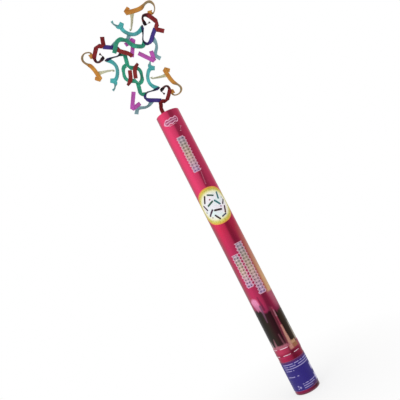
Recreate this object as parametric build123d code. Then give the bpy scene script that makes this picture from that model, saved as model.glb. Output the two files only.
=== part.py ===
from build123d import *
import os
from math import asin, cos, pi, radians, sin, sqrt

# A twist-action confetti popper, just fired: a foil-wrapped card barrel over a twist base that holds a
# spring striker and a small bottle of compressed air, with the paper streamers it has thrown still hanging
# from the muzzle. The foot's centre is the origin, the tube stands along +Z, and lengths are millimetres.
# A name that ends in share or shares holds parts of another size; angles are degrees.

# Tube and wraps
OVERALL_LENGTH = 600.0  # foot to muzzle rim
BODY_DIAMETER = 50.0  # over the foil
CARD_WALL = 1.8
FOIL = 0.3
RIM_ROUND = 0.6
GLUE_LINE = 0.05  # between pieces glued or pressed together
RUNNING_CLEARANCE = 0.3  # radial, between pieces that slide or turn
OVERRUN = 1.0  # how far a cut passes the face it opens

# Twist base shell
BASE_LENGTH = 76.0
SEAM_GAP = 0.5
COLLAR_WIDTH = 15.0
COLLAR_WALL = 0.6
COLLAR_BEVEL = 0.35
LABEL = 0.3
LABEL_LOW = 7.5
LABEL_MARGIN = 10.5  # from the label to the top of the base

# End plug
PLUG_FLANGE = 3.0
PLUG_SPIGOT = 5.0
PLUG_SPIGOT_WALL = 4.0
PLUG_ROUND = 1.0
PLUG_GROOVE_DIAMETER = 32.0
PLUG_GROOVE_WIDTH = 1.5
PLUG_GROOVE_DEPTH = 0.6

# Trigger core, the moulding that turns with the base
CORE_FLOOR = 3.0
CORE_WALL = 3.4
LATCH_THICKNESS = 4.0
SPRING_POST_DIAMETER = 8.6
SPRING_POST_HEIGHT = 5.0
DOG_HEIGHT = 5.0
DOG_ANGLE = 20.0
DOG_PLAY = 2.0
DOG_PLACE = 90.0
TWIST_ANGLE = 75.0
STOP_COUNT = 2

# Coupler, the moulding glued into the barrel
GUIDE_BORE = 18.8
GUIDE_WALL = 2.6
GUIDE_FOOT_GAP = 5.0  # above the core's floor
LATCH_RING_GAP = 0.4  # radial, guide tube to latch ring
SLOT_OVERTRAVEL = 2.0
BULKHEAD_DEPTH = 10.0  # below the top of the base
BULKHEAD_THICKNESS = 6.0
SKIRT_LENGTH = 17.0
SKIRT_WALL = 3.8
COUPLER_REACH = 53.5  # above the seam
SLEEVE_WALL = 4.35
PORT_DIAMETER = 5.6
PORT_COUNT = 6
RETAINER_HEIGHT = 9.0  # above the skirt's foot
RETAINER_THICKNESS = 3.0
RETAINER_GRIP = 1.0  # how far the ring reaches into its groove
RETAINER_SPLIT = 6.0
GROOVE_PLAY = 0.5
O_RING_CORD = 2.0
O_RING_GROOVE_WIDTH = 2.6
O_RING_GAP = 0.1

# Striker
LUG_WIDTH = 8.0
LUG_HEIGHT = 6.0
LUG_REACH = 17.4  # from the axis
LUG_SIDE_CLEARANCE = 0.4
LUG_REST_GAP = 3.5  # above the latch ring once fired
LATCH_CLEARANCE = 0.5  # below the latch ring when cocked
STRIKER_PLACE_SHARE = 0.32  # cocked height, of the free height from the core's floor to the bottle
CARRIER_SKIRT = 5.5
CARRIER_CROWN = 8.5
POCKET_DIAMETER = 14.0
POCKET_DEPTH = 10.0
PIN_DIAMETER = 4.0
PIN_SOCKET = 6.0
PIN_POINT = 6.0
PIN_FLAT = 0.4
PIERCE_DEPTH = 7.0
SPRING_WIRE = 1.4
SPRING_MEAN_DIAMETER = 11.6
SPRING_TURNS = 6
SPRING_SEAT_GAP = 0.15
QUARTERS_PER_TURN = 4

# Compressed-air bottle, neck down
BOTTLE_DIAMETER = 34.0
BOTTLE_LENGTH = 128.0  # shoulder to crown
BOTTLE_WALL = 1.2
BOTTLE_SHOULDER = 10.0
BOTTLE_CROWN = 12.0
SHOULDER_SEAT_DIAMETER = 26.0
NECK_DIAMETER = 14.0
NECK_BORE = 7.0
NECK_PROUD = 4.0  # past the bulkhead's underside
NECK_CLEARANCE = 0.25
GASKET_THICKNESS = 2.0
SEAL_THICKNESS = 0.6
SEAL_TEAR_DIAMETER = 5.0
CAP_WALL = 0.8
CAP_HEIGHT = 6.5
CAP_WINDOW = 9.0
VALVE_STEM_DIAMETER = 6.0
VALVE_HEAD_DIAMETER = 10.0
VALVE_HEAD = 2.5
VALVE_STEM = 6.0
SPIDER_HEIGHT = 6.0
SPIDER_DROP = 14.0  # below the bottle's crown shoulder
SPIDER_HUB_WALL = 1.5
SPIDER_RIM_WALL = 1.2
SPIDER_SPOKE_ANGLE = 24.0
SPIDER_SPOKES = 4

# Pusher and muzzle
STOP_GAP = 7.0  # fill valve to stop ring
STOP_HEIGHT = 6.0
STOP_WALL = 4.5
PUSHER_REST_GAP = 0.2
FELT_THICKNESS = 4.0
PUSHER_HEIGHT = 24.0
PUSHER_FLOOR = 2.0
PUSHER_WALL = 1.5
MUZZLE_SETBACK = 1.0
MUZZLE_RING_HEIGHT = 12.0
MUZZLE_RING_WALL = 2.85
SEAL_FOIL = 0.4
PETAL_COUNT = 8
PETAL_LENGTH = 9.0

# Streamers
SPRAY_SPAN = 88.0  # the size that the whole burst follows
STREAMER_WIDTH_SHARE = 0.0940
STREAMER_THICKNESS = 0.35
BURST_HEIGHT_SHARE = 1.125  # burst's middle above the muzzle rim
BURST_RIGHT_SHARE = -0.307
BURST_BACK_SHARE = -0.318
BURST_LEAN = 24.0  # the burst leans over the front of the muzzle
WAVE_DEPTH_SHARE = 0.1023
WAVE_LENGTH_SHARE = 2.16
FOLD_SHARE = 0.0735  # how far a fold bulges, of the streamer's width
TAIL_DIP = 6.0  # how far the lowest streamer's tail still reaches into the muzzle
TAIL_CLEARANCE = 0.4
TAIL_SLANT = 0.6  # how much nearer the front the tail's outer edge lies than its middle
TAIL_PLACE = 122.0  # angle of the tail's outer corner about the tube's axis
STEPS_PER_SPAN = 2

# Streamer routes seen from the front. A row is (right, up, back, turn): right and up are shares of the
# spray's span, back is a share of the streamer's width, and turn is a share of a quarter turn, from facing
# the viewer at 0 to edge-on at 1. Each streamer is one or more runs, and a fold joins a run to the next.
RED_SHARES = (
    ((0.10, -0.34, 0.00, 0.1), (0.09, -0.25, 0.00, 0.1), (0.075, -0.15, 0.00, 0.0)),
    ((0.075, -0.14, -0.16, 0.0), (0.148, -0.142, -0.16, 0.0), (0.222, -0.146, -0.16, 0.0)),
    (
        (0.222, -0.146, -0.32, 0.0),
        (0.256, -0.03, -0.32, 0.0),
        (0.282, 0.07, -0.32, 0.0),
        (0.281, 0.135, -0.32, 0.5),
        (0.243, 0.195, -0.32, 0.65),
        (0.186, 0.195, -0.32, 0.65),
        (0.138, 0.155, -0.32, 0.5),
        (0.10, 0.105, -0.32, 0.25),
        (0.117, 0.06, -0.32, 0.95),
        (0.172, 0.018, -0.32, 0.6),
    ),
)
BLUE_SHARES = (
    (
        (0.095, -0.13, 0.14, 0.0),
        (-0.075, -0.124, 0.14, 0.0),
        (-0.19, -0.122, 0.14, 0.1),
        (-0.258, -0.09, 0.14, 0.6),
        (-0.284, -0.05, 0.14, 0.55),
        (-0.268, 0.01, 0.14, 0.7),
        (-0.225, 0.057, 0.14, 0.8),
        (-0.14, 0.08, 0.14, 0.85),
        (-0.05, 0.112, 0.14, 0.7),
        (0.015, 0.143, 0.14, 0.6),
        (0.062, 0.172, 0.14, 0.9),
    ),
)
ORANGE_SHARES = (
    ((0.29, 0.072, -0.16, 0.0), (0.34, 0.082, -0.16, 0.0), (0.385, 0.09, -0.16, 0.0)),
    (
        (0.385, 0.09, 0.00, 0.0),
        (0.358, 0.046, 0.30, 0.4),
        (0.388, 0.00, 0.45, 0.8),
        (0.45, 0.00, 0.45, 0.85),
        (0.515, 0.03, 0.45, 0.85),
        (0.555, 0.09, 0.45, 0.75),
        (0.558, 0.155, 0.40, 0.7),
        (0.52, 0.21, 0.30, 0.7),
        (0.455, 0.247, 0.20, 0.65),
        (0.376, 0.287, 0.10, 0.15),
        (0.30, 0.368, 0.05, 0.0),
        (0.24, 0.455, 0.00, 0.0),
        (0.16, 0.575, 0.00, 0.0),
    ),
    ((0.16, 0.575, 0.16, 0.0), (0.235, 0.562, 0.16, 0.2), (0.295, 0.548, 0.16, 0.4)),
)
GOLD_SHARES = (
    (
        (0.22, 0.445, 0.17, 0.0),
        (0.14, 0.42, 0.32, 0.5),
        (0.04, 0.392, 0.28, 0.65),
        (-0.06, 0.373, 0.30, 0.75),
        (-0.11, 0.362, 0.30, 0.8),
        (-0.132, 0.395, 0.30, 0.6),
    ),
)
CYAN_SHARES = (
    (
        (0.03, 0.143, 0.70, 0.0),
        (-0.02, 0.157, 0.70, 0.0),
        (-0.10, 0.191, 0.62, 0.3),
        (-0.177, 0.262, 0.52, 0.4),
        (-0.21, 0.36, 0.45, 0.4),
        (-0.209, 0.447, 0.40, 0.4),
        (-0.186, 0.535, 0.30, 0.3),
        (-0.14, 0.583, 0.30, 0.1),
        (-0.055, 0.59, 0.30, 0.0),
    ),
    (
        (-0.055, 0.59, 0.14, 0.0),
        (-0.145, 0.612, 0.14, 0.0),
        (-0.165, 0.66, 0.14, 0.4),
        (-0.154, 0.70, 0.14, 0.75),
        (-0.143, 0.757, 0.14, 0.8),
        (-0.10, 0.805, 0.14, 0.6),
    ),
)
TEAL_SHARES = (
    (
        (-0.11, -0.135, 0.34, 0.0),
        (-0.15, -0.185, 0.38, 0.0),
        (-0.205, -0.25, 0.38, 0.5),
        (-0.285, -0.287, 0.30, 0.5),
        (-0.375, -0.293, 0.30, 0.4),
        (-0.45, -0.305, 0.20, 0.2),
        (-0.475, -0.37, 0.25, 0.3),
        (-0.487, -0.44, 0.30, 0.1),
    ),
)
MAGENTA_SHARES = (
    ((-0.54, 0.068, -0.28, 0.0), (-0.583, -0.324, -0.28, 0.0)),
    ((-0.583, -0.324, -0.12, 0.0), (-0.397, -0.187, -0.12, 0.0)),
)
GREEN_SHARES = (
    (
        (-0.255, 0.01, 0.74, 0.0),
        (-0.32, 0.006, 0.72, 0.1),
        (-0.365, 0.017, 0.55, 0.4),
        (-0.39, 0.055, 0.40, 0.1),
        (-0.42, 0.173, 0.30, 0.0),
        (-0.45, 0.29, 0.30, 0.0),
    ),
    (
        (-0.45, 0.29, 0.14, 0.0),
        (-0.545, 0.303, 0.14, 0.15),
        (-0.632, 0.302, 0.20, 0.3),
        (-0.706, 0.342, 0.30, 0.4),
        (-0.742, 0.405, 0.40, 0.4),
        (-0.756, 0.48, 0.45, 0.5),
        (-0.763, 0.555, 0.50, 0.2),
        (-0.742, 0.61, 0.50, 0.0),
        (-0.70, 0.635, 0.50, 0.0),
    ),
)
MAROON_SHARES = (
    (
        (-0.43, 0.688, -0.19, 0.6),
        (-0.47, 0.63, -0.19, 0.35),
        (-0.503, 0.548, -0.16, 0.0),
        (-0.497, 0.445, -0.16, 0.0),
        (-0.487, 0.355, -0.16, 0.2),
    ),
)
STREAMERS = {
    "red": RED_SHARES,
    "blue": BLUE_SHARES,
    "orange": ORANGE_SHARES,
    "gold": GOLD_SHARES,
    "cyan": CYAN_SHARES,
    "teal": TEAL_SHARES,
    "magenta": MAGENTA_SHARES,
    "green": GREEN_SHARES,
    "maroon": MAROON_SHARES,
}

# In the right spray the green streamer arches over to the left, and the maroon one starts under its end
RIGHT_GREEN_SHARES = (
    (
        (-0.255, 0.01, 0.74, 0.0),
        (-0.32, 0.008, 0.72, 0.1),
        (-0.37, 0.035, 0.50, 0.2),
        (-0.405, 0.14, 0.30, 0.0),
        (-0.418, 0.23, 0.30, 0.0),
        (-0.40, 0.305, 0.30, 0.1),
        (-0.37, 0.373, 0.35, 0.3),
        (-0.372, 0.452, 0.40, 0.5),
        (-0.392, 0.528, 0.40, 0.1),
        (-0.461, 0.58, 0.40, 0.1),
        (-0.541, 0.588, 0.40, 0.1),
        (-0.626, 0.577, 0.40, 0.0),
        (-0.722, 0.571, 0.40, 0.0),
    ),
)
RIGHT_MAROON_SHARES = (
    (
        (-0.622, 0.56, 0.54, 0.0),
        (-0.633, 0.442, 0.50, 0.0),
        (-0.623, 0.339, 0.48, 0.0),
        (-0.626, 0.245, 0.56, 0.1),
        (-0.65, 0.175, 0.66, 0.0),
    ),
)
OWN_ROUTES = {("right", "green"): RIGHT_GREEN_SHARES, ("right", "maroon"): RIGHT_MAROON_SHARES}

# The three sprays: angle, then right and up as shares of the span and back as a share of a streamer's width
SPRAY_SHARES = {
    "low": (-27.0, 0.30, -0.665, 0.0),
    "left": (153.0, -0.28, 0.63, 0.04),
    "right": (45.0, 0.77, 0.67, -1.06),
}
TAIL_SPRAY = "low"
TAIL_COLOUR = "red"

# Radii that follow from those sizes
foil_radius = BODY_DIAMETER / 2
card_radius = foil_radius - FOIL
bore_radius = card_radius - CARD_WALL
glued_radius = bore_radius - GLUE_LINE
sliding_radius = bore_radius - RUNNING_CLEARANCE
core_inner_radius = glued_radius - CORE_WALL
guide_inner_radius = GUIDE_BORE / 2
guide_outer_radius = guide_inner_radius + GUIDE_WALL
latch_inner_radius = guide_outer_radius + LATCH_RING_GAP
skirt_inner_radius = sliding_radius - SKIRT_WALL
retainer_inner_radius = sliding_radius - RETAINER_GRIP
carrier_radius = guide_inner_radius - RUNNING_CLEARANCE
bottle_radius = BOTTLE_DIAMETER / 2
neck_radius = NECK_DIAMETER / 2
cap_radius = neck_radius + GLUE_LINE + CAP_WALL
bulkhead_bore_radius = cap_radius + NECK_CLEARANCE
muzzle_radius = glued_radius - MUZZLE_RING_WALL
petal_radius = muzzle_radius - RUNNING_CLEARANCE

# Heights that follow from those sizes
seam_top = BASE_LENGTH + SEAM_GAP
label_top = BASE_LENGTH - LABEL_MARGIN
floor_low = PLUG_FLANGE + PLUG_SPIGOT
floor_top = floor_low + CORE_FLOOR
bulkhead_low = BASE_LENGTH - BULKHEAD_DEPTH
bulkhead_top = bulkhead_low + BULKHEAD_THICKNESS
neck_low = bulkhead_low - NECK_PROUD
seal_low = neck_low - SEAL_THICKNESS
cap_low = seal_low - CAP_WALL
pin_tip = seal_low + PIERCE_DEPTH
striker_travel = LUG_HEIGHT + LUG_REST_GAP + LATCH_THICKNESS + LATCH_CLEARANCE
carrier_height = CARRIER_SKIRT + LUG_HEIGHT + CARRIER_CROWN
free_height = cap_low - floor_top - striker_travel - carrier_height
carrier_low = floor_top + free_height * STRIKER_PLACE_SHARE + striker_travel
carrier_top = carrier_low + carrier_height
pocket_top = carrier_low + POCKET_DEPTH
lug_low = carrier_low + CARRIER_SKIRT
lug_top = lug_low + LUG_HEIGHT
latch_top = lug_low - LUG_REST_GAP
latch_low = latch_top - LATCH_THICKNESS
guide_low = floor_top + GUIDE_FOOT_GAP
skirt_low = bulkhead_low - SKIRT_LENGTH
core_top = skirt_low - GROOVE_PLAY
retainer_low = skirt_low + RETAINER_HEIGHT
coupler_top = seam_top + COUPLER_REACH
o_ring_height = bulkhead_low + BULKHEAD_THICKNESS / 2
bottle_low = bulkhead_top + GASKET_THICKNESS
bottle_top = bottle_low + BOTTLE_LENGTH
crown_low = bottle_top - BOTTLE_CROWN
spider_top = crown_low - SPIDER_DROP
stop_low = bottle_top + VALVE_HEAD + STOP_GAP
stop_top = stop_low + STOP_HEIGHT
felt_low = stop_top + PUSHER_REST_GAP
pusher_low = felt_low + FELT_THICKNESS
pusher_top = pusher_low + PUSHER_HEIGHT
muzzle_ring_top = OVERALL_LENGTH - MUZZLE_SETBACK
muzzle_ring_low = muzzle_ring_top - MUZZLE_RING_HEIGHT
seal_foil_low = muzzle_ring_low - SEAL_FOIL

# The burst, whose sizes follow from the spray's span
streamer_width = SPRAY_SPAN * STREAMER_WIDTH_SHARE
wave_depth = SPRAY_SPAN * WAVE_DEPTH_SHARE
wave_length = SPRAY_SPAN * WAVE_LENGTH_SHARE
burst_height = OVERALL_LENGTH + SPRAY_SPAN * BURST_HEIGHT_SHARE
burst_place = Pos(SPRAY_SPAN * BURST_RIGHT_SHARE, SPRAY_SPAN * BURST_BACK_SHARE, burst_height)
burst_frame = burst_place * Rot(90 + BURST_LEAN, 0, 0)


def turned(*outline):
    """Solid turned about Z from (radius, height) points."""
    return revolve(make_face(Polyline([(r, 0, z) for r, z in outline], close=True)), Axis.Z)


def ring(inner, outer, low, high):
    """Plain ring between two radii and two heights."""
    return turned((inner, low), (outer, low), (outer, high), (inner, high))


def rod(radius, low, high):
    """Plain round bar on the Z axis."""
    return Pos(0, 0, (low + high) / 2) * Cylinder(radius, high - low)


def arc_block(inner, outer, low, high, middle, span):
    """Part of a ring, span degrees wide about the angle middle."""
    corners = ((inner, 0, low), (outer, 0, low), (outer, 0, high), (inner, 0, high))
    section = make_face(Polyline(*corners, close=True))
    return Rot(0, 0, middle - span / 2) * revolve(section, Axis.Z, revolution_arc=span)


def around(solid, count):
    """The solid and its copies, evenly spaced about Z."""
    return [Rot(0, 0, 360 * index / count) * solid for index in range(count)]


def rims(solid, height):
    """The round edges of a solid at one height."""
    return [e for e in solid.edges().filter_by(GeomType.CIRCLE) if abs(e.center().Z - height) < GLUE_LINE]


def barrel_tube():
    return fillet(rims(ring(bore_radius, card_radius, seam_top, OVERALL_LENGTH), OVERALL_LENGTH), RIM_ROUND)


def seam_collar():
    collar = ring(foil_radius, foil_radius + COLLAR_WALL, seam_top, seam_top + COLLAR_WIDTH)
    circles = collar.edges().filter_by(GeomType.CIRCLE)
    edges = [e for e in circles if e.radius > foil_radius + COLLAR_WALL / 2]
    return chamfer(edges, COLLAR_BEVEL)


def end_plug():
    spigot_radius = bore_radius - GLUE_LINE
    plug = turned(
        (0, 0),
        (foil_radius, 0),
        (foil_radius, PLUG_FLANGE),
        (spigot_radius, PLUG_FLANGE),
        (spigot_radius, floor_low),
        (spigot_radius - PLUG_SPIGOT_WALL, floor_low),
        (spigot_radius - PLUG_SPIGOT_WALL, PLUG_FLANGE),
        (0, PLUG_FLANGE),
    )
    plug = fillet([e for e in rims(plug, 0) if e.radius > spigot_radius], PLUG_ROUND)
    groove_radius = PLUG_GROOVE_DIAMETER / 2
    return plug - ring(groove_radius - PLUG_GROOVE_WIDTH, groove_radius, -OVERRUN, PLUG_GROOVE_DEPTH)


def trigger_core():
    """Cup with the latch ring over the striker's lugs, two slots that let them go, and the twist dogs."""
    core = turned(
        (0, floor_low),
        (glued_radius, floor_low),
        (glued_radius, core_top),
        (core_inner_radius, core_top),
        (core_inner_radius, latch_top),
        (latch_inner_radius, latch_top),
        (latch_inner_radius, latch_low),
        (core_inner_radius, latch_low),
        (core_inner_radius, floor_top),
        (0, floor_top),
    )
    core += rod(SPRING_POST_DIAMETER / 2, floor_low, floor_top + SPRING_POST_HEIGHT)
    slot_width = LUG_WIDTH + LUG_SIDE_CLEARANCE * 2
    slot_reach = LUG_REACH + LUG_SIDE_CLEARANCE
    slot = Box(slot_reach * 2, slot_width, LATCH_THICKNESS + OVERRUN)
    core -= Pos(0, 0, (latch_low + latch_top) / 2) * slot
    dog_inner = sliding_radius - SKIRT_WALL + RUNNING_CLEARANCE
    dog_low = core_top - CORE_WALL
    dog = arc_block(dog_inner, sliding_radius, dog_low, core_top + DOG_HEIGHT, DOG_PLACE, DOG_ANGLE)
    dog -= ring(0, core_inner_radius, dog_low - OVERRUN, core_top)
    return core + around(dog, STOP_COUNT)


def coupler():
    """Bulkhead moulding: sleeve in the barrel, skirt that turns in the base, and striker guide tube."""
    body = turned(
        (skirt_inner_radius, skirt_low),
        (sliding_radius, skirt_low),
        (sliding_radius, seam_top),
        (glued_radius, seam_top),
        (glued_radius, coupler_top),
        (glued_radius - SLEEVE_WALL, coupler_top),
        (glued_radius - SLEEVE_WALL, bulkhead_top),
        (bulkhead_bore_radius, bulkhead_top),
        (bulkhead_bore_radius, bulkhead_low),
        (guide_inner_radius, bulkhead_low),
        (guide_inner_radius, guide_low),
        (guide_outer_radius, guide_low),
        (guide_outer_radius, bulkhead_low),
        (skirt_inner_radius, bulkhead_low),
    )
    retainer_groove = ring(
        retainer_inner_radius - RUNNING_CLEARANCE,
        bore_radius,
        retainer_low - GROOVE_PLAY,
        retainer_low + RETAINER_THICKNESS + GROOVE_PLAY,
    )
    o_ring_groove = ring(
        bore_radius - O_RING_GAP - O_RING_CORD,
        bore_radius,
        o_ring_height - O_RING_GROOVE_WIDTH / 2,
        o_ring_height + O_RING_GROOVE_WIDTH / 2,
    )
    slot_top = lug_top + SLOT_OVERTRAVEL
    slot_height = slot_top - guide_low + OVERRUN
    slot_width = LUG_WIDTH + LUG_SIDE_CLEARANCE * 2
    slot_length = guide_outer_radius * 2 + OVERRUN
    slots = Pos(0, 0, slot_top - slot_height / 2) * Box(slot_length, slot_width, slot_height)
    port = Pos((guide_outer_radius + skirt_inner_radius) / 2, 0, 0)
    port *= rod(PORT_DIAMETER / 2, bulkhead_low - OVERRUN, bulkhead_top + OVERRUN)
    notch_span = TWIST_ANGLE + DOG_ANGLE + DOG_PLAY * 2
    notch = arc_block(
        skirt_inner_radius - OVERRUN,
        bore_radius,
        skirt_low - OVERRUN,
        skirt_low + DOG_HEIGHT,
        DOG_PLACE - TWIST_ANGLE / 2,
        notch_span,
    )
    body = body - retainer_groove - o_ring_groove - slots
    return body - around(port, PORT_COUNT) - around(notch, STOP_COUNT)


def retaining_ring():
    """Split ring glued in the base sleeve, running in the coupler's groove."""
    whole = ring(retainer_inner_radius, glued_radius, retainer_low, retainer_low + RETAINER_THICKNESS)
    gap = Pos(-bore_radius, 0, retainer_low + RETAINER_THICKNESS / 2)
    return whole - gap * Box(bore_radius, RETAINER_SPLIT, RETAINER_THICKNESS + OVERRUN)


def seam_o_ring():
    return Pos(0, 0, o_ring_height) * Torus(bore_radius - O_RING_GAP - O_RING_CORD / 2, O_RING_CORD / 2)


def striker_carrier():
    """Plunger with two lugs, a spring pocket below and a socket for the pin above."""
    body = rod(carrier_radius, carrier_low, carrier_top)
    body += Pos(0, 0, (lug_low + lug_top) / 2) * Box(LUG_REACH * 2, LUG_WIDTH, LUG_HEIGHT)
    body -= rod(POCKET_DIAMETER / 2, carrier_low - OVERRUN, pocket_top)
    return body - rod(PIN_DIAMETER / 2 + GLUE_LINE, carrier_top - PIN_SOCKET, carrier_top + OVERRUN)


def striker_pin():
    radius = PIN_DIAMETER / 2
    return turned(
        (0, carrier_top - PIN_SOCKET),
        (radius, carrier_top - PIN_SOCKET),
        (radius, pin_tip - PIN_POINT),
        (PIN_FLAT / 2, pin_tip),
        (0, pin_tip),
    )


def biarc(start, start_way, end, end_way):
    """Two arcs that leave start and reach end along the given unit directions."""
    gap = end - start
    ways = start_way + end_way
    spare = ways.dot(ways) - 2 * 2
    reach = (gap.dot(ways) - sqrt(gap.dot(ways) ** 2 - spare * gap.dot(gap))) / spare
    joint = (start + start_way * reach + end - end_way * reach) / 2
    first = TangentArc(start, joint, tangent=start_way)
    second = TangentArc(joint, end, tangent=first % 1)
    return [first, second]


def striker_spring():
    """Compression spring between the core's floor and the carrier's pocket, with its ends ground flat."""
    low = floor_top + SPRING_SEAT_GAP
    high = pocket_top - SPRING_SEAT_GAP
    pitch = (high - low) / SPRING_TURNS
    radius = SPRING_MEAN_DIAMETER / 2
    quarters = SPRING_TURNS * QUARTERS_PER_TURN
    slope = pitch / (2 * pi)

    def place(quarter):
        angle = 2 * pi * quarter / QUARTERS_PER_TURN
        return Vector(radius * cos(angle), radius * sin(angle), low + slope * angle)

    def way(quarter):
        angle = 2 * pi * quarter / QUARTERS_PER_TURN
        return Vector(-radius * sin(angle), radius * cos(angle), slope).normalized()

    edges = []
    for quarter in range(quarters):
        edges += biarc(place(quarter), way(quarter), place(quarter + 1), way(quarter + 1))
    path = Wire(edges)
    section = Plane(origin=place(0), z_dir=way(0)) * Circle(SPRING_WIRE / 2)
    coil = sweep(section, path=path)
    print(f"spring: least gap between turns {pitch - SPRING_WIRE:.2f} mm")
    return coil & ring(0, bore_radius, low, high)


def dome(radius, top):
    """Arc of a spherical crown, from its rim at crown_low to its top on the axis."""
    rise = top - crown_low
    sphere = (radius**2 + rise**2) / (2 * rise)
    half_angle = asin(radius / sphere) / 2
    middle = (sphere * sin(half_angle), 0, top - sphere + sphere * cos(half_angle))
    return ThreePointArc((radius, 0, crown_low), middle, (0, 0, top))


def air_bottle():
    """Bottle with a domed crown, hung neck down through the bulkhead."""
    seat_radius = SHOULDER_SEAT_DIAMETER / 2
    inner_radius = bottle_radius - BOTTLE_WALL
    shoulder_top = bottle_low + BOTTLE_SHOULDER
    outline = Polyline(
        (0, 0, bottle_top),
        (0, 0, bottle_low),
        (seat_radius, 0, bottle_low),
        (bottle_radius, 0, shoulder_top),
        (bottle_radius, 0, crown_low),
    )
    crown = dome(bottle_radius, bottle_top)
    hollow_outline = Polyline(
        (0, 0, bottle_top - BOTTLE_WALL),
        (0, 0, bottle_low + BOTTLE_WALL),
        (seat_radius - BOTTLE_WALL, 0, bottle_low + BOTTLE_WALL),
        (inner_radius, 0, shoulder_top),
        (inner_radius, 0, crown_low),
    )
    hollow_crown = dome(inner_radius, bottle_top - BOTTLE_WALL)
    bottle = revolve(make_face([outline, crown]), Axis.Z)
    bottle -= revolve(make_face([hollow_outline, hollow_crown]), Axis.Z)
    bottle += rod(neck_radius, neck_low, bottle_low + BOTTLE_WALL)
    bottle -= rod(NECK_BORE / 2, neck_low - OVERRUN, bottle_low + BOTTLE_WALL * 2)
    return bottle - rod(VALVE_STEM_DIAMETER / 2 + GLUE_LINE, crown_low, bottle_top + OVERRUN)


def fill_valve():
    stem_radius = VALVE_STEM_DIAMETER / 2
    stem_low = bottle_top - VALVE_STEM
    head = rod(VALVE_HEAD_DIAMETER / 2, bottle_top, bottle_top + VALVE_HEAD)
    return rod(stem_radius, stem_low, bottle_top) + head


def neck_cap():
    """Crimped ring that holds the seal on the neck, open in the middle for the pin."""
    return turned(
        (CAP_WINDOW / 2, cap_low),
        (cap_radius, cap_low),
        (cap_radius, cap_low + CAP_HEIGHT),
        (neck_radius + GLUE_LINE, cap_low + CAP_HEIGHT),
        (neck_radius + GLUE_LINE, seal_low),
        (CAP_WINDOW / 2, seal_low),
    )


def cylinder_spider():
    """Ring that centres the bottle in the barrel and lets the gas past."""
    hub_radius = bottle_radius + RUNNING_CLEARANCE
    low = spider_top - SPIDER_HEIGHT
    window = arc_block(
        hub_radius + SPIDER_HUB_WALL,
        glued_radius - SPIDER_RIM_WALL,
        low - OVERRUN,
        spider_top + OVERRUN,
        0,
        360 / SPIDER_SPOKES - SPIDER_SPOKE_ANGLE,
    )
    return ring(hub_radius, glued_radius, low, spider_top) - around(window, SPIDER_SPOKES)


def pusher_cup():
    return turned(
        (0, pusher_low),
        (sliding_radius, pusher_low),
        (sliding_radius, pusher_top),
        (sliding_radius - PUSHER_WALL, pusher_top),
        (sliding_radius - PUSHER_WALL, pusher_low + PUSHER_FLOOR),
        (0, pusher_low + PUSHER_FLOOR),
    )


def muzzle_seal():
    """Foil that closed the muzzle, burst into petals that lie up against the muzzle ring's bore."""
    inner = petal_radius - SEAL_FOIL
    petal_top = seal_foil_low + PETAL_LENGTH
    foil = turned(
        (inner, seal_foil_low),
        (glued_radius, seal_foil_low),
        (glued_radius, muzzle_ring_low),
        (petal_radius, muzzle_ring_low),
        (petal_radius, petal_top),
        (inner, petal_top),
    )
    half_gap = petal_radius * sin(pi / PETAL_COUNT)
    tear_top = petal_top + SEAL_FOIL
    tear_corners = ((0, -half_gap, tear_top), (0, half_gap, tear_top), (0, 0, muzzle_ring_low))
    tear = extrude(make_face(Polyline(*tear_corners, close=True)), muzzle_radius, dir=(1, 0, 0))
    return foil - around(tear, PETAL_COUNT)


def smooth_rows(rows):
    """Rows of a smooth curve through the given rows, with even steps between each two."""
    before = tuple(2 * a - b for a, b in zip(rows[0], rows[1]))
    after = tuple(2 * a - b for a, b in zip(rows[-1], rows[-2]))
    padded = [before, *rows, after]
    result = []
    for first, start, end, last in zip(padded, padded[1:], padded[2:], padded[3:]):
        for step in range(STEPS_PER_SPAN):
            t = step / STEPS_PER_SPAN
            row = []
            for a, b, c, d in zip(first, start, end, last):
                bend = 2 * a - 5 * b + 4 * c - d
                twist = 3 * b - 3 * c + d - a
                row.append(b + (t * (c - a) + t**2 * bend + t**3 * twist) / 2)
            result.append(tuple(row))
    return result + [rows[-1]]


def run_stations(rows):
    """(place, unit way, unit width) along one run, in the flat spray."""
    rows = smooth_rows(rows)
    places = [
        Vector(right * SPRAY_SPAN, up * SPRAY_SPAN, back * streamer_width)
        for right, up, back, _ in rows
    ]
    stations = []
    for index, row in enumerate(rows):
        ahead = places[min(index + 1, len(places) - 1)]
        behind = places[max(index - 1, 0)]
        way = (ahead - behind).normalized()
        level = Vector(-way.Y, way.X, 0).normalized()
        turn = radians(90 * row[3])
        stations.append((places[index], way, level * cos(turn) + way.cross(level) * sin(turn)))
    return stations


def streamer_stations(runs):
    """(place, way, half width) along a whole streamer: its runs and the folds between them."""
    half = streamer_width / 2
    result = []
    for run in runs:
        stations = run_stations(run)
        if not result:
            result = [(place, way, width * half) for place, way, width in stations]
            continue
        place, way, width = result[-1]
        next_place, next_way, next_width = stations[0]
        level_ways = [Vector(w.X, w.Y, 0).normalized() for w in (way, next_way)]
        crease = (level_ways[0] + level_ways[1]).normalized()
        crease = crease if crease.dot(width) > 0 else -crease
        edge = crease * (half / abs(way.cross(crease).Z))
        outward = way - crease * way.dot(crease)
        middle = (place + next_place) / 2 + outward.normalized() * (streamer_width * FOLD_SHARE)
        result[-1] = (place, way, edge)
        result.append((middle, (next_place - place).normalized(), edge))
        side = half if next_width.dot(crease) > 0 else -half
        result.append((next_place, next_way, edge))
        result += [(p, w, across * side) for p, w, across in stations[1:]]
    return result


def spray_frame(spray):
    """A spray's place in the flat burst."""
    angle, right_share, up_share, back_share = spray
    place = Pos(right_share * SPRAY_SPAN, up_share * SPRAY_SPAN, back_share * streamer_width)
    return place * Rot(0, 0, angle)


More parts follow.
